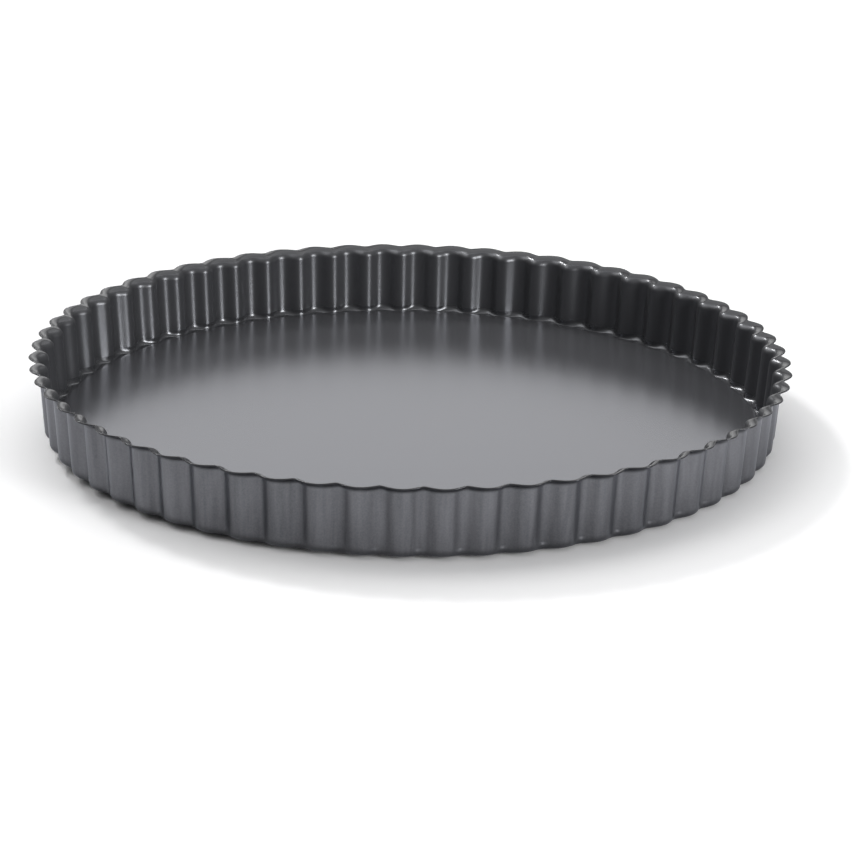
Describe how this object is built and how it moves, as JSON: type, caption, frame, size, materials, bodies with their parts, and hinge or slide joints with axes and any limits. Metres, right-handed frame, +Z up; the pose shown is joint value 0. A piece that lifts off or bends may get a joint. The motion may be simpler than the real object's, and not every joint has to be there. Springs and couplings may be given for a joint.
{
  "type": "loose-bottom tart pan",
  "caption": "Round fluted tart pan of coated dark grey steel: a fluted ring with a flared lip and an inward ledge, and a flat loose base disc that lies on the ledge and lifts out.",
  "frame": {"origin": "on the table under the middle of the pan, at the underside of the ring's ledge", "axes": "+Z up along the pan's axis, the way the base lifts out; +X through the crest of a flute"},
  "size_m": [0.3, 0.3, 0.029],
  "materials": {
    "ring_coat": "dark grey non-stick coat, satin with a fine grain",
    "base_coat": "dark grey non-stick coat, smooth semi-gloss"
  },
  "bodies": {
    "ring": {"fluted_ring": "ring_coat"},
    "base": {"base_disc": "base_coat"}
  },
  "joints": [
    {"name": "base_lift", "type": "slide", "parent": "ring", "child": "base", "axis": [0, 0, 1], "range_m": [0, 0.06]}
  ]
}
